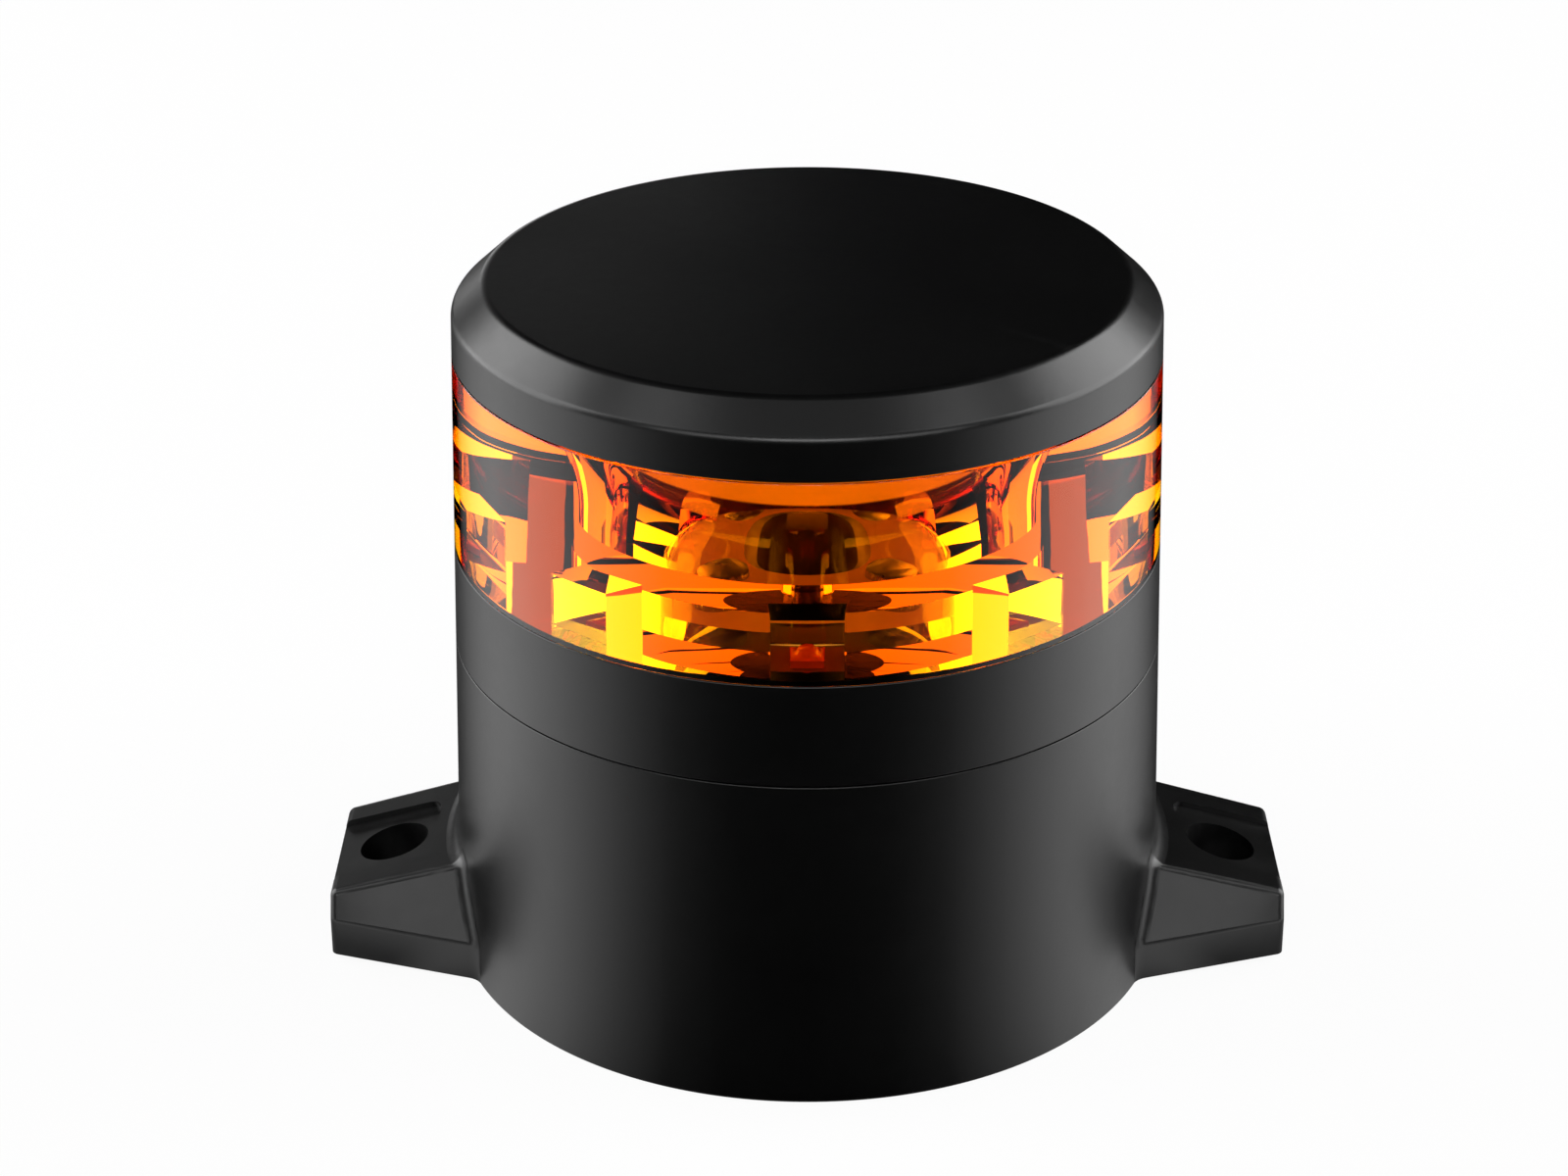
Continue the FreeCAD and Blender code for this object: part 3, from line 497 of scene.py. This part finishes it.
finishes = {
    "black_plastic": surface(
        "black_plastic", (0.0011, 0.0011, 0.0012), (0.0016, 0.0016, 0.0017),
        (0.28, 0.33), 1500, 0.006 * MM, dust=0.006, wear=0.12,
    ),
    "plate_plastic": surface(
        "plate_plastic", (0.012, 0.012, 0.013), (0.017, 0.017, 0.018),
        (0.42, 0.52), 1200, 0.02 * MM, wear=0.2,
    ),
    "amber_lens": amber_plastic(),
    "black_rubber": surface(
        "black_rubber", (0.011, 0.011, 0.011), (0.018, 0.018, 0.018),
        (0.6, 0.75), 2000, 0.02 * MM,
    ),
    "zinc_steel": surface(
        "zinc_steel", (0.52, 0.53, 0.52), (0.66, 0.66, 0.63),
        (0.24, 0.42), 900, 0.01 * MM, metal=1.0,
    ),
    "brass": surface(
        "brass", (0.62, 0.45, 0.16), (0.76, 0.58, 0.25),
        (0.22, 0.4), 900, 0.01 * MM, metal=1.0,
    ),
    "cast_aluminium": surface(
        "cast_aluminium", (0.6, 0.6, 0.61), (0.75, 0.75, 0.77),
        (0.38, 0.55), 500, 0.05 * MM, metal=1.0,
    ),
    "pad_silicone": surface(
        "pad_silicone", (0.38, 0.43, 0.48), (0.48, 0.53, 0.58),
        (0.6, 0.7), 800, 0.02 * MM,
    ),
    # The LED board, with its painted glow and painted shade
    "board_white": board_with_painted_glow(),
    "board_green": surface(
        "board_green", (0.02, 0.13, 0.05), (0.04, 0.2, 0.085),
        (0.25, 0.4), 400, 0.02 * MM,
    ),
    "led_resin": surface(
        "led_resin", (0.8, 0.045, 0.01), (0.92, 0.08, 0.02),
        (0.12, 0.22), 300, 0.01 * MM,
    ),
    "ferrite": surface(
        "ferrite", (0.05, 0.05, 0.054), (0.085, 0.085, 0.09),
        (0.55, 0.7), 1400, 0.03 * MM,
    ),
    "copper_wire": surface(
        "copper_wire", (0.6, 0.26, 0.1), (0.78, 0.38, 0.18),
        (0.2, 0.36), 900, 0.02 * MM, metal=1.0,
    ),
    "can_aluminium": surface(
        "can_aluminium", (0.6, 0.6, 0.61), (0.76, 0.76, 0.77),
        (0.25, 0.4), 700, 0.01 * MM, metal=1.0,
    ),
    "chip_resin": surface(
        "chip_resin", (0.02, 0.02, 0.02), (0.035, 0.035, 0.035),
        (0.5, 0.62), 1500, 0.02 * MM,
    ),
    "terminal_grey": surface(
        "terminal_grey", (0.28, 0.29, 0.3), (0.36, 0.37, 0.38),
        (0.4, 0.52), 1200, 0.02 * MM,
    ),
    "wire_red": surface("wire_red", (0.46, 0.03, 0.02), (0.6, 0.05, 0.04), (0.3, 0.42), 900, 0.02 * MM),
}

# Pieces

SMALL_PIECES = (
    "base_plate", "base_plate_screws", "cable_grommet", "vent_plug", "led_board", "leds", "led_board_screws",
    "lens_post", "tie_screw", "cap_insert",
)


def make_cap():
    """The cap: flat top, bevelled shoulder and skirt, over the ribs and boss of its own shape."""
    shoulder = cap_top - SHOULDER_DROP
    outline = [
        (SKIRT_INNER, cap_low), (drum_radius(cap_low), cap_low), (drum_radius(shoulder), shoulder),
        (FLAT_RADIUS, cap_top), (POLE_RADIUS, cap_top),
    ]
    outline = soften(outline, {1: LIP_ROUND, 2: SHOULDER_ROUND, 3: CAP_TOP_ROUND})

    def is_outer(radii, levels):
        return max(radii) > SKIRT_INNER + SLACK or min(levels) > cap_ceiling + SLACK

    settle(reskinned("top_cap", outline, is_outer), "top_cap")


def make_collar():
    """The collar, with a thin lip that narrows its seam with the base."""
    lip = collar_low - SEAM_LIP
    outline = [
        (COLLAR_SPIGOT, collar_low), (SEAM_LIP_RADIUS, collar_low), (SEAM_LIP_RADIUS, lip),
        (drum_radius(lip), lip), (drum_radius(collar_top), collar_top), (LENS_SEAT, collar_top),
    ]
    outline = soften(outline, {3: EDGE_ROUND, 4: LIP_ROUND})

    def is_outer(radii, levels):
        return max(radii) > LENS_SEAT + SLACK

    settle(reskinned("collar_ring", outline, is_outer), "collar_ring")


def make_base():
    """The drum of the base, over the ears, bosses and bore of its own shape."""
    outline = [
        (PLATE_RECESS, 0), (foot_radius, 0), (drum_radius(base_top), base_top), (BORE_RADIUS, base_top),
    ]
    outline = soften(outline, {1: LIP_ROUND, 2: EDGE_ROUND})

    def is_outer(radii, levels):
        on_wall = all(abs(r - drum_radius(z)) < SLACK for r, z in zip(radii, levels))
        on_top = min(levels) > base_top - BASE_TOP_ROUND - SLACK
        on_foot = max(levels) < SLACK and max(radii) < foot_radius + SLACK
        return on_wall or on_top or on_foot

    settle(reskinned("base_housing", outline, is_outer), "base_housing")


def make_lens():
    """The solid optic: funnel above, shallow hollow and LED pockets below."""
    funnel_top = rim_top - FUNNEL_DROP
    funnel_start = funnel_top - FUNNEL_RISE
    funnel_floor = funnel_start - FUNNEL_DEPTH
    hollow_top = led_floor + HOLLOW_RISE
    foot = led_floor + FOOT_GAP
    mouth = 180 - math.degrees(math.asin(FUNNEL_RISE / FUNNEL_RADIUS))
    outline = [
        (TIE_BORE, hollow_top), (HOLLOW_RADIUS, hollow_top), (HOLLOW_RADIUS, foot),
        (LENS_SPIGOT_INNER, foot), (LENS_SPIGOT_INNER, lens_low), (LENS_SPIGOT, lens_low),
        (LENS_SPIGOT, collar_top), (drum_radius(collar_top), collar_top), (drum_radius(lens_top), lens_top),
        (RIM_SPIGOT, lens_top), (RIM_SPIGOT, rim_top), (RIM_INNER, rim_top), (RIM_INNER, funnel_top),
    ]
    outline = soften(outline, {7: LIP_ROUND, 8: LIP_ROUND})
    outline += arc((FUNNEL_NECK + FUNNEL_RADIUS, funnel_start), FUNNEL_RADIUS, mouth, 180, FUNNEL_STEPS)
    outline += [
        (FUNNEL_NECK, funnel_floor + FUNNEL_STEP), (FUNNEL_FLAT, funnel_floor), (TIE_BORE, funnel_floor),
    ]
    piece = turned("lens_drum", outline)
    cutters = []
    deep, wide, high = POCKET_SIZE
    for k in range(LED_COUNT):
        turn = 2 * math.pi * k / LED_COUNT
        middle = foot + (high - POCKET_OVERCUT) / 2
        place = (LED_CIRCLE * math.cos(turn), LED_CIRCLE * math.sin(turn), middle)
        size = (deep, wide, high + POCKET_OVERCUT)
        bpy.ops.mesh.primitive_cube_add(size=1, location=place, rotation=(0, 0, turn), scale=size)
        cutters.append(bpy.context.object)
    for cutter in cutters:
        cutter.select_set(True)
    bpy.ops.object.join()
    pockets = bpy.context.object
    cut = piece.modifiers.new("led_pockets", "BOOLEAN")
    cut.operation = "DIFFERENCE"
    cut.object = pockets
    cut.solver = "EXACT"
    apply_modifier(piece, cut)
    bpy.data.objects.remove(pockets)
    pick(piece)
    bpy.ops.object.shade_smooth_by_angle(angle=SMOOTH_ANGLE)
    settle(piece, "outer_lens")


def make_smooth_piece(node):
    """A small piece with its own shape, smooth where it is round."""
    piece = merged_copy(node)
    smooth(piece)
    settle(piece, node)


make_cap()
make_collar()
make_base()
make_lens()
for node in SMALL_PIECES:
    make_smooth_piece(node)
for node, thing in cad.items():
    thing.data.materials.clear()
    thing.data.materials.append(finishes[node_slots[node]])

# Studio

PHOTO_WIDTH = 1600
FOCAL_PIXELS = 3724.3
SIDE_PIXELS = -23.8
SENSOR_WIDTH = 36
EYE_PLACE = (0, -0.4204, 0.2484)
EYE_TILT = 0.44567
EYE_CLIP = 10 * MM
LAMP_AIM = Vector((0, 0, 50 * MM))
FLOOR_SIZE = 6
PAPER_GLOW = 0.93
ROOM_GLOW = 0.006
CARD_RADIUS = 2.9
CARD_CORNERS = 120
CARD_LEVEL = 0.2 * MM
CARD_FAR_GLOW = 2.0
# How much the card is darkened near the beacon's foot, as painted shade of the floor there
CARD_NEAR_PAINTED_SHADE = 0.9
CARD_REAR_GLOW = 3.5
CARD_REAR_TURN = (math.radians(125), math.radians(140))
# Painted shade on the card in front of each ear, standing in for the floor's shadow there: its strength,
# then its side and front limits
EAR_SHADE = 0.7
EAR_SHADE_INSIDE = (49 * MM, 55 * MM)
EAR_SHADE_OUTSIDE = (90 * MM, 78 * MM)
EAR_SHADE_BEHIND = (-1 * MM, 2 * MM)
EAR_SHADE_BEFORE = (26 * MM, 17 * MM)

# Shade of the card at an angle in degrees from the front, as the drum's wall mirrors it
CARD_SHADES = (
    (26, 0.01), (46, 0.08), (65, 0.42), (87, 0.9), (106, 1.0), (120, 0.85), (132, 0.5), (143, 0.2),
    (155, 0.0),
)


def softbox(name, place, size, power, through_lens=True, in_gloss=True):
    """A lamp aimed at the beacon, which can be kept out of the lens or off the opaque faces."""
    light = bpy.data.lights.new(name, "AREA")
    light.shape = "RECTANGLE"
    light.size, light.size_y = size
    light.energy = power
    lamp = bpy.data.objects.new(name, light)
    bpy.context.scene.collection.objects.link(lamp)
    lamp.location = place
    lamp.visible_transmission = through_lens
    lamp.visible_glossy = in_gloss
    lamp.visible_diffuse = in_gloss
    lamp.rotation_euler = (LAMP_AIM - Vector(place)).to_track_quat("-Z", "Y").to_euler()


def make_floor():
    """White paper that keeps a faint shadow: most of its brightness is its own where it is looked at."""
    deselect()
    bpy.ops.mesh.primitive_plane_add(size=FLOOR_SIZE)
    floor = bpy.context.object
    floor.name = "floor"
    paper, tree, shader = new_material("floor_paper")
    shader.inputs["Base Color"].default_value = (0.93, 0.93, 0.93, 1)
    shader.inputs["Roughness"].default_value = 0.9
    shader.inputs["Specular IOR Level"].default_value = 0.1
    path = tree.nodes.new("ShaderNodeLightPath")
    seen = maths(tree, "MAXIMUM", path.outputs["Is Camera Ray"], path.outputs["Is Glossy Ray"])
    seen = maths(tree, "MAXIMUM", seen, path.outputs["Is Transmission Ray"])
    glow = tree.nodes.new("ShaderNodeEmission")
    glow.inputs["Strength"].default_value = 1.0
    mix = tree.nodes.new("ShaderNodeMixShader")
    tree.links.new(maths(tree, "MULTIPLY", seen, PAPER_GLOW), mix.inputs["Fac"])
    tree.links.new(shader.outputs["BSDF"], mix.inputs[1])
    tree.links.new(glow.outputs["Emission"], mix.inputs[2])
    tree.links.new(mix.outputs["Shader"], tree.nodes["Material Output"].inputs["Surface"])
    floor.data.materials.append(paper)


def make_card():
    """A round card under the beacon, bright at its sides and darkened as painted shade near the foot and in
    front of each ear, that only the gloss and the lens show.
    """
    deselect()
    bpy.ops.mesh.primitive_circle_add(
        vertices=CARD_CORNERS, radius=CARD_RADIUS, fill_type="TRIFAN", location=(0, 0, CARD_LEVEL))
    card = bpy.context.object
    card.name = "floor_card"
    bpy.ops.object.transform_apply(location=True)
    material, tree, _ = new_material("floor_card")
    place = tree.nodes.new("ShaderNodeTexCoord")
    split = tree.nodes.new("ShaderNodeSeparateXYZ")
    tree.links.new(place.outputs["Object"], split.inputs["Vector"])
    front = maths(tree, "MULTIPLY", split.outputs["Y"], -1)
    turn = maths(tree, "ABSOLUTE", maths(tree, "ARCTAN2", split.outputs["X"], front), 0)
    squares = [maths(tree, "MULTIPLY", split.outputs[axis], split.outputs[axis]) for axis in "XY"]
    distance = maths(tree, "SQRT", maths(tree, "ADD", *squares), 0)
    nearness = maths(tree, "MINIMUM", maths(tree, "DIVIDE", foot_radius, distance), 1)
    turn_share = maths(tree, "ADD", maths(tree, "MULTIPLY", nearness, 0.5), 0.5)
    wall_turn = maths(tree, "MULTIPLY", turn, turn_share)
    lean_sine = maths(tree, "MULTIPLY", nearness, maths(tree, "SINE", wall_turn, 0))
    lean = maths(tree, "ARCSINE", lean_sine, 0)
    ramp = tree.nodes.new("ShaderNodeValToRGB")
    tree.links.new(maths(tree, "DIVIDE", maths(tree, "ADD", turn, lean), math.pi), ramp.inputs["Fac"])
    stops = ramp.color_ramp.elements
    stops[0].color = (0, 0, 0, 1)
    stops[1].color = (0, 0, 0, 1)
    for degrees, shade in CARD_SHADES:
        stops.new(degrees / 180).color = (shade, shade, shade, 1)
    glow = tree.nodes.new("ShaderNodeEmission")
    path = tree.nodes.new("ShaderNodeLightPath")
    # Painted shade: the card is darker near the foot, standing in for the floor's shadow there
    near_painted_shade = maths(tree, "MULTIPLY", nearness, CARD_NEAR_PAINTED_SHADE)
    level = maths(tree, "SUBTRACT", CARD_FAR_GLOW, near_painted_shade)
    # Painted shade in front of each ear, so that the ears' lower faces mirror a dark floor
    side = maths(tree, "ABSOLUTE", split.outputs["X"], 0)
    from_inside = spread(tree, side, *EAR_SHADE_INSIDE)
    from_outside = spread(tree, side, *EAR_SHADE_OUTSIDE)
    beside = maths(tree, "MULTIPLY", from_inside, from_outside)
    from_behind = spread(tree, front, *EAR_SHADE_BEHIND)
    from_before = spread(tree, front, *EAR_SHADE_BEFORE)
    before = maths(tree, "MULTIPLY", from_behind, from_before)
    ear_painted_shade = maths(tree, "MULTIPLY", maths(tree, "MULTIPLY", beside, before), EAR_SHADE)
    level = maths(tree, "MULTIPLY", level, maths(tree, "SUBTRACT", 1, ear_painted_shade))
    mirrored = maths(tree, "MULTIPLY", ramp.outputs["Color"], level)
    behind = maths(tree, "MULTIPLY", spread(tree, turn, *CARD_REAR_TURN), CARD_REAR_GLOW)
    shown = tree.nodes.new("ShaderNodeMix")
    tree.links.new(path.outputs["Is Transmission Ray"], shown.inputs["Factor"])
    tree.links.new(mirrored, shown.inputs["A"])
    tree.links.new(behind, shown.inputs["B"])
    tree.links.new(shown.outputs["Result"], glow.inputs["Strength"])
    tree.links.new(glow.outputs["Emission"], tree.nodes["Material Output"].inputs["Surface"])
    card.data.materials.append(material)
    card.visible_camera = False
    card.visible_diffuse = False
    card.visible_shadow = False


def make_world():
    """A dark room that looks white where the camera sees past the floor."""
    world = bpy.data.worlds.new("room")
    bpy.context.scene.world = world
    world.use_nodes = True
    tree = world.node_tree
    back = tree.nodes["Background"]
    back.inputs["Color"].default_value = (1, 1, 1, 1)
    path = tree.nodes.new("ShaderNodeLightPath")
    tree.links.new(maths(tree, "MAXIMUM", path.outputs["Is Camera Ray"], ROOM_GLOW), back.inputs["Strength"])


def make_camera():
    """A long lens in front of the beacon and a little above it."""
    camera = bpy.data.cameras.new("camera")
    eye = bpy.data.objects.new("camera", camera)
    bpy.context.scene.collection.objects.link(eye)
    eye.location = EYE_PLACE
    eye.rotation_euler = (math.pi / 2 - EYE_TILT, 0, 0)
    camera.sensor_width = SENSOR_WIDTH
    camera.lens = FOCAL_PIXELS / PHOTO_WIDTH * SENSOR_WIDTH
    camera.shift_x = SIDE_PIXELS / PHOTO_WIDTH
    camera.clip_start = EYE_CLIP
    bpy.context.scene.camera = eye


make_floor()
make_card()
make_world()
for side in (-1, 1):
    softbox("side_softbox", (side * 0.87, 0.25, 0.42), (1.0, 0.8), 10, through_lens=False)
    softbox("high_softbox", (side * 0.75, -0.32, 1.16), (0.5, 0.5), 1.5, through_lens=False)
    softbox("ear_softbox", (side * 0.56, -0.82, 0.47), (0.5, 0.4), 1.3, through_lens=False)
    softbox("lens_softbox", (side * 0.82, 0.24, 0.4), (1.0, 0.8), 21, in_gloss=False)
    softbox("lens_flank_softbox", (side * 0.37, 0.37, 0.9), (0.4, 0.4), 1.2, in_gloss=False)
    softbox("lens_edge_softbox", (side * 0.58, 0.72, 0.53), (0.3, 0.3), 0.18, in_gloss=False)
softbox("rear_softbox", (-0.28, 1.0, 0.14), (0.5, 0.2), 0.45, through_lens=False)
softbox("front_softbox", (0.0, -1.0, 0.55), (0.6, 0.3), 3, through_lens=False)
softbox("overhead_softbox", (0.0, -0.5, 1.03), (0.9, 0.5), 0.65, through_lens=False)
softbox("lens_rear_softbox", (0.0, 0.9, 0.62), (1.0, 0.9), 6, in_gloss=False)
make_camera()
bpy.context.scene.view_settings.view_transform = "Standard"
bpy.context.scene.cycles.max_bounces = 24
bpy.context.scene.cycles.glossy_bounces = 16
bpy.context.scene.cycles.transmission_bounces = 16
